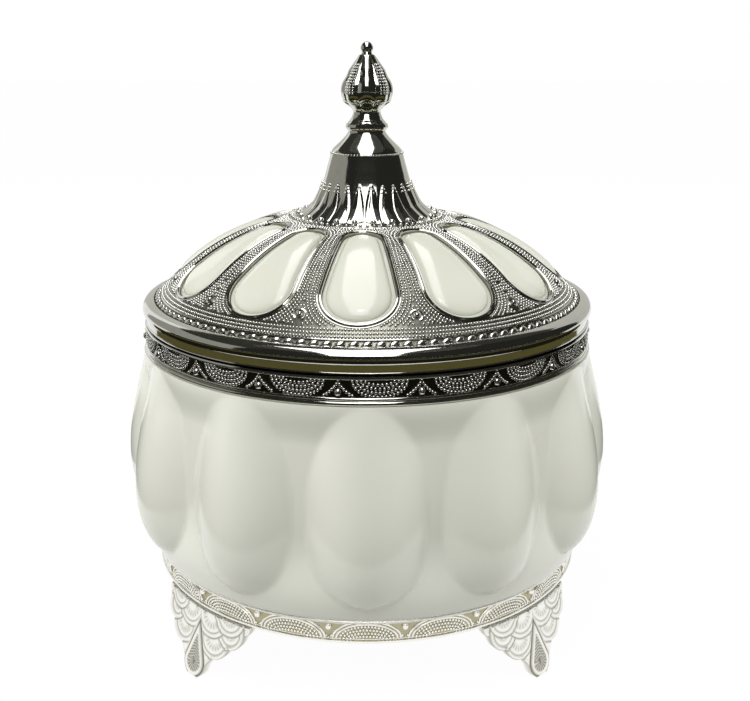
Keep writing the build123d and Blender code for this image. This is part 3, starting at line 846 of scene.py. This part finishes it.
def build_bell_relief():
    """Tiny beads round the shoulder, balls round the foot of the bell, and beads on the leaves' tips."""
    spots = []
    for count, radius, rise, size in ((72, 11.0, 19.1, 0.33), (24, 21.4, 0.75, 0.95), (72, 23.4, 0.1, 0.5)):
        spots += bead_ring(radius, crown_level + rise, size,
                           window_turn + 360.0 * (np.arange(count) + 0.5) / count)
    radii, heights = np.transpose(bell_line)
    for climb in (0.80, 0.90, 0.98):
        height = crown_level + leaf_height * climb
        radius = np.interp(height, heights, radii) + 0.15
        swing = leaf_edge(climb) * 90.0 / facet_count
        for leaf in range(2 * facet_count):
            centre = window_turn + (leaf + 0.5) * 180.0 / facet_count
            spots += bead_ring(radius, height, 0.34, np.array([centre - swing, centre + swing]))
    fit(beads("bell_beading", spots, beading_plate_painted_bright, round_bead), "lid")


build_dome_skin()
build_lid_rim()
build_bell()
build_window_rims()
build_rope()
build_dome_beads()
build_dome_curls()
build_bell_relief()


# Liner with its petals

def build_liner():
    """Turned body of the liner from its seat on the locating ring to its crown."""
    outer = dome_arc_radius - dome_wall - liner_gap
    inner = outer - liner_wall
    leans = np.linspace(0.0, math.asin((dome_foot_radius - dome_arc_offset) / dome_arc_radius), 25)
    profile = [(liner_seat_inner, flange_top), (liner_flange_radius, flange_top)]
    profile += [(dome_arc_offset + outer * math.sin(lean), arc_level + outer * math.cos(lean))
                for lean in leans[::-1]]
    profile += [(stud_hole, arc_level + outer), (stud_hole, arc_level + inner)]
    profile += [(dome_arc_offset + inner * math.sin(lean), arc_level + inner * math.cos(lean))
                for lean in leans]
    fit(turned("lid_liner_body", profile, ivory, segments=288), "lid", "lid_liner", slot="ivory_liner")


def build_petals():
    """Twelve glossy cushions in a flat border, which rise from the liner into the windows."""
    rim, _ = window_ring(-0.12)
    border, _ = window_ring(0.1 - petal_inset)
    outline, _ = window_ring(-petal_inset)
    spine = np.stack([np.clip(outline[:, 0], window_inner + 1.0, window_outer + 1.0),
                      np.zeros(len(outline))], axis=1)
    layers = [(rim, -dome_wall - liner_gap - 0.4), (rim, -0.85), (border, -0.75)]
    for share in np.cos(np.linspace(0.0, 0.5 * math.pi, 16)):
        layers.append((spine + (outline - spine) * share,
                       -0.95 + petal_crown * (1.0 - share ** 3.2) ** 0.62))
    points = []
    faces = []
    for azimuth in window_azimuths:
        start = len(points) * len(outline)
        for ring, rise in layers:
            points.append(dome_point(ring[:, 0], ring[:, 1], azimuth, rise))
        faces += grid_faces(len(layers), len(outline), wrap_columns=True, start=start)
    piece = make_mesh("liner_petals", np.concatenate(points), faces, ivory)
    tidy(piece, outward=False, crease=50.0)
    fit(piece, "lid", slot="ivory_liner")


build_liner()
build_petals()


# Finial: lines read off the photograph, from the foot of the pedestal to the neck under the ball, as
# (radius, height over the bell)

pedestal_and_bud = ((5.6, 2.5), (5.0, 3.2), (4.5, 4.2), (4.15, 5.4), (4.8, 6.6), (6.3, 7.8), (7.3, 9.0),
                    (7.8, 10.8), (7.85, 12.4), (7.3, 14.2), (6.2, 16.0), (5.4, 17.8), (4.25, 19.4),
                    (3.25, 20.8), (2.3, 22.0), (1.7, finial_top - bell_top - 3.7))
finial_flange = ((stud_hole, 0.0), (6.0, 0.0), (6.4, 0.5), (6.5, 1.1), (6.3, 1.8), (5.8, 2.2))


def bud_shape(radius, height, turns):
    """Round lobes with sharp grooves on the bud, and the scalloped edge of the calyx below them."""
    share = (height - bud_low) / (bud_tip - bud_low)
    if not 0.0 < share < 1.0:
        return np.full(len(turns), float(radius))
    round_lobe = np.abs(np.cos(0.5 * bud_lobes * turns))
    groove = 0.85 * math.sin(math.pi * share ** 0.7)
    sepal = soft_step((bud_low + 1.5 + 1.5 * round_lobe - height) / 0.5)
    return radius - groove * (1.0 - round_lobe) + 0.28 * sepal * min(1.0, share / 0.1)


def build_finial():
    """Flange, pedestal, lobed bud and ball in one turned piece, with grains on every second lobe."""
    line = smooth_line([(radius, bell_top + rise) for radius, rise in pedestal_and_bud], 90)
    profile = [(radius, bell_top + rise) for radius, rise in finial_flange] + line
    profile += arc_points((1.5, finial_top - 3.1), (1.9, finial_top - 1.9), (0.0, finial_top), 14)
    profile += [(0.0, bell_top + 11.5), (stud_hole, bell_top + 11.5)]
    fit(turned("finial_bud", profile, nickel, segments=256, wave=bud_shape, crease=35.0), "lid",
        "finial")
    radii, heights = np.transpose(line)
    spots = []
    for height in np.arange(bud_low + 5.0, bud_tip - 2.4, 0.82):
        radius = float(np.interp(height, heights, radii))
        for lobe in range(1, bud_lobes, 2):
            for swing in (-11.0, -3.7, 3.7, 11.0):
                azimuth = lobe * 360.0 / bud_lobes + swing
                skin = bud_shape(radius, height, np.radians([azimuth - 90.0]))[0]
                spots.append((*polar(skin, azimuth), height, 0.36))
    fit(beads("finial_grains", spots, beading_plate_painted_bright, small_bead), "lid")


build_finial()


# Rim collar and base ring

def ring_spot(radius, azimuth, across, height, out):
    """A point on a cylinder from its way across from an azimuth, with its height, standing out by out."""
    x, y = polar(radius + out, azimuth + np.degrees(np.asarray(across, float) / radius))
    return np.stack([x, y, np.broadcast_to(height, np.shape(x))], axis=-1)


def build_collar():
    """Turned collar: a sunk band, dark with painted shade, between a thin upper line and two polished rolls
    below.
    """
    low = collar_bottom
    top = collar_top
    profile = [(collar_bore, low)]
    profile += arc_points((69.45, low + 0.05), (70.05, low + 0.75), (69.5, low + 1.45), 9)
    profile += arc_points((69.55, low + 1.55), (69.95, low + 2.0), (69.3, low + 2.5), 7)
    band = len(profile) - 1
    profile += [(collar_outer_radius, top - 1.05), (69.65, top - 0.95), (69.85, top - 0.7),
                (69.9, top - 0.4), (69.7, top), (collar_bore, top)]
    # The band's row takes the plate darkened as painted shade
    piece = turned("rim_collar_body", profile, nickel, segments=384, recess=collar_band_painted_shade,
                   recess_rows=(band,))
    fit(piece, "jar", "rim_collar")


def build_base_ring():
    """Turned base ring: flange under the porcelain, a band whose olive colour is painted shade and
    reflection, edge lines and sloped lip.
    """
    low = ring_bottom
    top = ring_top
    flange = low + ring_flange_thickness
    profile = [(ring_flange_radius, low), (68.3, low), (68.85, low + 0.2), (69.0, low + 0.55),
               (68.85, low + 0.9), (68.2, low + 1.05), (68.15, low + 1.2), (68.2, top - 2.0),
               (68.8, top - 1.85), (69.4, top - 1.5), (69.2, top - 1.15), (69.9, top - 0.8),
               (70.2, top - 0.4), (69.9, top), (ring_inner_radius, top), (ring_inner_radius, flange),
               (ring_flange_radius, flange)]
    # The band and one edge line take the casting darkened and tinted olive as painted shade and reflection
    piece = turned("base_ring_body", profile, silver_cast, segments=384, recess=ring_band_painted_light,
                   recess_rows=(6, 10))
    fit(piece, "jar", "base_ring")


def nested_arcs(centre, base, wide, tall, shrink, turns):
    """Four half ovals in one another, from their (across, height) centre."""
    return [np.stack([centre + (wide - shrink * step) * np.cos(turns),
                      base + (tall - shrink * step) * np.sin(turns)], axis=1) for step in range(4)]


def bead_rows_of(paths, pitch, out, size):
    """Rows for beads along each path of (across, height) points."""
    return [(*place, out, size) for path in paths for place in evenly(path, pitch)]


def collar_motif():
    """Beads of one motif as (across, height, out, radius): a pearl in a pointed arch, and the swag that
    hangs beside it."""
    share = np.linspace(0.0, 1.0, 40)
    arches = [np.stack([side * 3.7 * (1.0 - share) ** 1.25, 3.0 + 3.9 * share ** 1.2], axis=1)
              for side in (-1, 1)]
    swags = nested_arcs(math.pi * collar_outer_radius / motif_count, 6.9, 7.1, 4.3, 1.12,
                        np.linspace(math.pi, FULL_TURN, 60))
    return ([(0.0, 4.0, 0.4, 1.15)] + bead_rows_of(arches, 0.95, 0.25, 0.50)
            + bead_rows_of(swags, 1.08, 0.2, 0.53))


def base_motif():
    """Beads of one motif of the base ring: a pearl over a small chain, and the half oval beside it."""
    chains = [np.array([[side * 2.3, 3.9], [side * 1.2, 2.4], [0.0, 1.7]]) for side in (-1, 1)]
    ovals = nested_arcs(math.pi * ring_outer_radius / motif_count, 1.5, 7.5, 3.7, 1.0,
                        np.linspace(0.0, math.pi, 70))
    return ([(0.0, 5.1, 0.35, 1.1)] + bead_rows_of(chains, 0.82, 0.1, 0.36)
            + bead_rows_of(ovals, 0.95, 0.15, 0.43))


def lay_motif(name, motif, radius, first, bottom, material):
    """Repeats a motif round a ring."""
    spots = []
    for index in range(motif_count):
        azimuth = first + 360.0 * index / motif_count
        for across, height, out, size in motif:
            spots.append((*ring_spot(radius, azimuth, across, bottom + height, out), size))
    fit(beads(name, spots, material, small_bead), "jar")


def build_base_arches():
    """Two smooth raised lines over each half oval of the base ring."""
    turns = np.linspace(0.0, math.pi, 41)
    paths = []
    for index in range(motif_count):
        centre = base_pearl_turn + 360.0 * (index + 0.5) / motif_count
        for wide, tall in ((9.6, 5.5), (8.6, 4.6)):
            paths.append(ring_spot(ring_outer_radius, centre, wide * np.cos(turns),
                                   ring_bottom + 1.3 + tall * np.sin(turns), 0.12))
    fit(tubes("base_arches", paths, 0.30, silver_cast, sides=6, closed=False), "jar")


build_collar()
lay_motif("collar_beading", collar_motif(), collar_outer_radius, collar_pearl_turn, collar_bottom,
          beading_plate_painted_bright)
build_base_ring()
build_base_arches()
lay_motif("base_beading", base_motif(), ring_outer_radius, base_pearl_turn, ring_bottom, silver_cast)


# Feet

def foot_radius(height):
    """Outer radius of the leaning foot at a height."""
    return foot_toe_radius + (foot_head_radius - foot_toe_radius) * height / ring_bottom


def foot_edge(across, height):
    """Signed distance to the foot's outline, negative inside: a round toe, the fan's scallops and the
    wedge between them."""
    side = np.abs(across)
    result = np.hypot(side, height - toe_centre) - foot_toe_round
    for along, centre, radius in foot_fan:
        result = np.minimum(result, np.hypot(side - along, height - centre) - radius)
    wedge_width = foot_toe_round + (foot_fan[2][0] - foot_toe_round) * np.clip(
        (height - toe_centre) / (ring_bottom - toe_centre), 0.0, 1.0)
    wedge = np.where(height >= toe_centre, (side - wedge_width) * 0.75, 99.0)
    result = np.minimum(result, wedge)
    return np.maximum(result, np.maximum(height - ring_bottom, -height))


def drop_edge(across, height):
    """Signed distance to the drop on the toe: a round with two tangents up to its point."""
    side = np.abs(across)
    lean = math.asin(foot_drop_radius / (foot_drop_height - toe_centre))
    line = side * math.cos(lean) + (height - toe_centre) * math.sin(lean) - foot_drop_radius
    round_part = np.hypot(side, height - toe_centre) - foot_drop_radius
    above = (height - toe_centre) * math.cos(lean) - side * math.sin(lean) > 0.0
    return np.where(above, line, round_part)


def foot_relief(across, height):
    """How far the cast relief stands out of the foot's plate, and how deep in a hollow each place is."""
    side = np.abs(across)
    relief = np.zeros_like(side)
    hollow = np.zeros_like(side)

    # Overlapping shells, each with two rims and a fan of fine ribs
    for along, centre, radius in foot_shells:
        inside = radius - np.hypot(side - along, height - centre)
        cover = soft_step(inside / 0.4)
        rims = 0.34 * ridge(inside - 0.75, 0.42) + 0.18 * ridge(inside - 2.0, 0.34)
        fan = np.cos(18.0 * np.arctan2(height - centre, side - along))
        fan_share = soft_step((inside - 2.3) / 0.5) * soft_step((5.0 - inside) / 1.5)
        groove = ridge(inside - 1.4, 0.24) + 1.2 * ridge(inside + 0.1, 0.28)
        relief = relief * (1.0 - cover) + (rims + 0.12 * fan * fan_share + 0.14) * cover
        hollow = np.maximum(hollow * (1.0 - cover), np.minimum(groove, 1.2) * 0.6)
        hollow = np.maximum(hollow, cover * fan_share * (0.12 + 0.34 * np.clip(-fan, 0.0, 1.0)))

    # Raised border along the outline
    border = -foot_edge(across, height)
    relief = relief + 0.34 * ridge(border - 0.6, 0.45)

    # The drop: bare ground round it, a moat, a rim and a hatched field with a dot at its round end
    drop = drop_edge(across, height)
    clear = soft_step((1.25 - drop) / 0.9)
    moat = ridge(drop - 0.15, 0.36)
    field = soft_step((-drop - 1.05) / 0.35)
    line = FULL_TURN * np.where(height > toe_centre + 1.0, (height + 0.4 * side) / 0.85,
                                2.6 * np.arctan2(height - toe_centre, across))
    hatch = 0.5 + 0.5 * np.cos(line)
    dot = np.hypot(side, height - toe_centre)
    relief = relief * (1.0 - clear) + 0.10 * clear + 0.50 * ridge(drop + 0.60, 0.42) - 0.28 * moat
    relief = relief + field * (0.10 + 0.16 * hatch) - 0.4 * ridge(dot, 0.6)
    hollow = np.maximum(hollow * (1.0 - clear), moat)
    hollow = np.maximum(hollow, field * (0.35 + 0.55 * (1.0 - hatch)))
    hollow = np.maximum(hollow, 0.5 * ridge(border, 0.35))
    return relief, np.maximum(hollow, ridge(dot, 0.7))


def build_foot(name, azimuth):
    """One foot: carved face, side walls and back, cut along its scalloped outline."""
    step = 0.25
    half_width = 20.4
    columns = int(2 * half_width / step) + 1
    rows = int((ring_bottom + 0.3) / step) + 2
    across, height = np.meshgrid((np.arange(columns) - (columns - 1) / 2) * step,
                                 np.linspace(0.0, ring_bottom, rows))

    # Points just outside the outline are drawn in onto it
    edge = foot_edge(across, height)
    push = 0.05
    slope_x = (foot_edge(across + push, height) - foot_edge(across - push, height)) / (2 * push)
    slope_z = (foot_edge(across, height + push) - foot_edge(across, height - push)) / (2 * push)
    near = (edge > 0.0) & (edge < step * 1.5)
    across = np.where(near, across - slope_x * edge, across)
    height = np.where(near, np.clip(height - slope_z * edge, 0.0, ring_bottom), height)
    relief, hollow = foot_relief(across, height)
    relief = np.where(near, 0.0, relief)
    radius = foot_radius(height)
    layers = []
    for out in (relief, np.full_like(relief, 0.4 - foot_plate)):
        x, y = polar(radius + out, azimuth + np.degrees(across / radius))
        layers.append(np.stack([x, y, height], axis=-1).reshape(-1, 3))

    # Front and back faces of every cell inside the outline, and walls along the sides left single
    total = rows * columns
    keep = edge < step * 1.5
    faces = []
    sides = {}
    for row in range(rows - 1):
        for column in range(columns - 1):
            cell = np.s_[row:row + 2, column:column + 2]
            if not keep[cell].all() or not (edge[cell] < 0.0).any():
                continue
            first = row * columns + column
            corners = (first, first + 1, first + columns + 1, first + columns)
            faces.append(corners)
            faces.append(tuple(total + corner for corner in reversed(corners)))
            for near_end, far_end in zip(corners, corners[1:] + corners[:1]):
                if sides.pop((far_end, near_end), None) is None:
                    sides[(near_end, far_end)] = True
    faces += [(far_end, near_end, total + near_end, total + far_end) for near_end, far_end in sides]
    piece = make_mesh(name + "_casting", np.concatenate(layers), faces, silver_cast)
    # The recess attribute colours the carving's hollows darker, towards the casting's hollow tone
    recess = piece.data.attributes.new("recess", "FLOAT", "POINT")
    recess.data.foreach_set("value", np.concatenate([hollow.ravel(), np.zeros(total)]).astype(np.float32))
    tidy(piece, crease=55.0)
    fit(piece, "jar", name)


for number, foot_name in enumerate(foot_names):
    build_foot(foot_name, foot_turn + 90.0 * number)


# Finishes of the CAD pieces that stay as they are

for node, material in (("collar_cement", plaster), ("base_cement", plaster), ("locating_ring", ivory),
                       ("lid_seal", silicone), ("foot_rivets", steel), ("lid_stud", steel),
                       ("stud_washer", steel), ("stud_nut", steel)):
    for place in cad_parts[node].material_slots:
        place.material = material


# Studio: white surroundings, cards that only reflections see, and soft lights

card_centre = 100.0
table_card_level = 40.0


def seen_straight(tree, low, high):
    """high for rays from the camera, a reflection or through glass, and low for the light on the jar,
    with the node that tells the rays apart."""
    path = add_node(tree, "ShaderNodeLightPath")
    seen = path.outputs["Is Camera Ray"]
    for ray in ("Is Glossy Ray", "Is Transmission Ray"):
        seen = add_node(tree, "ShaderNodeMath", [(0, seen), (1, path.outputs[ray])],
                        operation="MAXIMUM").outputs[0]
    share = add_node(tree, "ShaderNodeMapRange", [("Value", seen), ("To Min", low), ("To Max", high)])
    return path, share.outputs[0]


def white_world():
    """Even white surroundings: soft light for the jar, plain white for the camera and reflections."""
    world = bpy.data.worlds.new("white_studio")
    bpy.context.scene.world = world
    world.use_nodes = True
    tree = world.node_tree
    tree.nodes.clear()
    _, strength = seen_straight(tree, 0.15, 1.0)
    glow = add_node(tree, "ShaderNodeBackground", [("Color", linear("#FFFFFF")), ("Strength", strength)])
    add_node(tree, "ShaderNodeOutputWorld", [("Surface", glow.outputs[0])])


def white_floor():
    """White paper sweep under the jar that keeps a soft shadow; it sends little light up at the jar."""
    material, tree = new_material("white_sweep")
    path, share = seen_straight(tree, 0.0, 0.97)
    tone = add_node(tree, "ShaderNodeMix", [
        ("Factor", path.outputs["Is Diffuse Ray"]), (6, linear("#FCFCFB")), (7, linear("#A9A9A4"))],
        data_type="RGBA")
    matt = add_node(tree, "ShaderNodeBsdfDiffuse", [("Color", tone.outputs[2])])
    light = add_node(tree, "ShaderNodeEmission", [("Strength", 1.0)])
    finish_material(tree, add_node(tree, "ShaderNodeMixShader", [(0, share), (1, matt.outputs[0]),
                                                                 (2, light.outputs[0])]))
    size = 6000.0
    corners = [(-size, -size, 0.0), (size, -size, 0.0), (size, size, 0.0), (-size, size, 0.0)]
    make_mesh("studio_floor", corners, [(0, 1, 2, 3)], material, smooth=False)


def reflection_card(name, glow, rows):
    """A card through rows of points, seen only in reflections; glow(tree) gives its emission's inputs."""
    material, tree = new_material(name)
    finish_material(tree, add_node(tree, "ShaderNodeEmission", glow(tree)))
    piece = make_mesh(name, np.concatenate(rows), grid_faces(len(rows), len(rows[0])), material)
    piece.visible_camera = False
    piece.visible_diffuse = False
    piece.visible_shadow = False
    piece.visible_transmission = False


def bent_card(name, code, azimuths, elevations, distance):
    """A card bent round the jar between two azimuths and two elevations."""
    rows = []
    for lift in np.radians(np.linspace(*elevations, 9)):
        x, y = polar(distance * math.cos(lift), np.linspace(*azimuths, 33))
        rows.append([(px, py, card_centre + distance * math.sin(lift)) for px, py in zip(x, y)])
    reflection_card(name, lambda tree: [("Color", linear(code)), ("Strength", 1.0)], rows)


def table_card(name, code, azimuths, near, far):
    """A flat card over the table in front of the jar: its colour from above, white from below, so that
    the feet under its level still reflect a white floor."""
    def glow(tree):
        side = add_node(tree, "ShaderNodeNewGeometry")
        tone = add_node(tree, "ShaderNodeMix", [
            ("Factor", side.outputs["Backfacing"]), (6, linear(code)), (7, linear("#FFFFFF"))],
            data_type="RGBA")
        return [("Color", tone.outputs[2]), ("Strength", 1.0)]

    rows = []
    for radius in (far, near):
        x, y = polar(radius, np.linspace(*azimuths, 33))
        rows.append([(px, py, table_card_level) for px, py in zip(x, y)])
    reflection_card(name, glow, rows)


def strip_card(name, sides, elevations, distance, strength):
    """Image of a long strip lamp that runs overhead from front to back."""
    rows = []
    for lift in np.radians(np.linspace(*elevations, 25)):
        rows.append([(across, -distance * math.cos(lift), card_centre + distance * math.sin(lift))
                     for across in sides])
    reflection_card(name, lambda tree: [("Strength", strength)], rows)


def soft_box(name, place, aim, width, power, in_reflections):
    """A square soft box that looks at a height on the jar's axis, in metres and watts."""
    lamp = bpy.data.lights.new(name, "AREA")
    lamp.size = width
    lamp.energy = power
    item = bpy.data.objects.new(name, lamp)
    bpy.context.scene.collection.objects.link(item)
    item.location = place
    item.rotation_euler = (Vector((0.0, 0.0, aim)) - Vector(place)).to_track_quat("-Z", "Y").to_euler()
    item.visible_glossy = in_reflections


def overhead_light(name, elevation, azimuth, strength, spread_angle):
    """Wide even light from above, too soft to show in reflections."""
    lamp = bpy.data.lights.new(name, "SUN")
    lamp.energy = strength
    lamp.angle = math.radians(spread_angle)
    item = bpy.data.objects.new(name, lamp)
    bpy.context.scene.collection.objects.link(item)
    item.rotation_euler = (math.radians(90.0 - elevation), 0.0, math.radians(azimuth))
    item.visible_glossy = False


def photograph_camera():
    """Lens and place fitted to the photograph, in metres."""
    lens = bpy.data.cameras.new("photograph_camera")
    lens.sensor_width = 36.0
    lens.lens = 49.44
    lens.shift_x = 0.0108
    lens.clip_start = 0.01
    item = bpy.data.objects.new("photograph_camera", lens)
    bpy.context.scene.collection.objects.link(item)
    item.location = (0.0, -0.3213, 0.1794)
    item.rotation_euler = (math.radians(73.74), 0.0, 0.0)
    bpy.context.scene.camera = item


white_world()
white_floor()

# Dim room behind the camera, paler walls at the left and back, dim ceiling, strip lamp, and the table
bent_card("dark_room_card", "#2A2A27", (-64.0, 122.0), (-4.0, 60.0), 810.0)
bent_card("left_wall_card", "#A0A09A", (-135.0, -64.0), (-4.0, 34.0), 810.0)
bent_card("back_wall_card", "#CCCCC6", (122.0, 210.0), (-4.0, 34.0), 810.0)
bent_card("upper_wall_card", "#3A3A36", (-238.0, -64.0), (34.0, 60.0), 810.0)
bent_card("ceiling_card", "#4E4E49", (-180.0, 180.0), (60.0, 90.0), 820.0)
strip_card("overhead_strip_card", (-215.0, 165.0), (35.0, 122.0), 780.0, 3.5)
table_card("dark_table_card", "#1E1D15", (-120.0, 120.0), 92.0, 222.0)
table_card("warm_table_card", "#5C5733", (-120.0, 120.0), 222.0, 310.0)
table_card("far_table_card", "#24241F", (-105.0, 105.0), 310.0, 790.0)

overhead_light("overhead_sky", 60.0, -24.0, 2.3, 60.0)
soft_box("key_soft_box", (0.0, -0.42, 0.68), 0.10, 0.09, 0.28, True)
soft_box("ceiling_soft_box", (0.0, 0.32, 0.76), 0.10, 0.2, 0.3, False)
soft_box("left_soft_box", (-0.95, 0.0, 0.35), 0.06, 0.5, 3.4, False)
soft_box("right_soft_box", (0.95, 0.0, 0.35), 0.06, 0.5, 4.0, False)
soft_box("back_soft_box", (0.25, 0.95, 0.55), 0.06, 0.5, 2.6, False)
photograph_camera()
bpy.context.scene.view_settings.view_transform = "Standard"
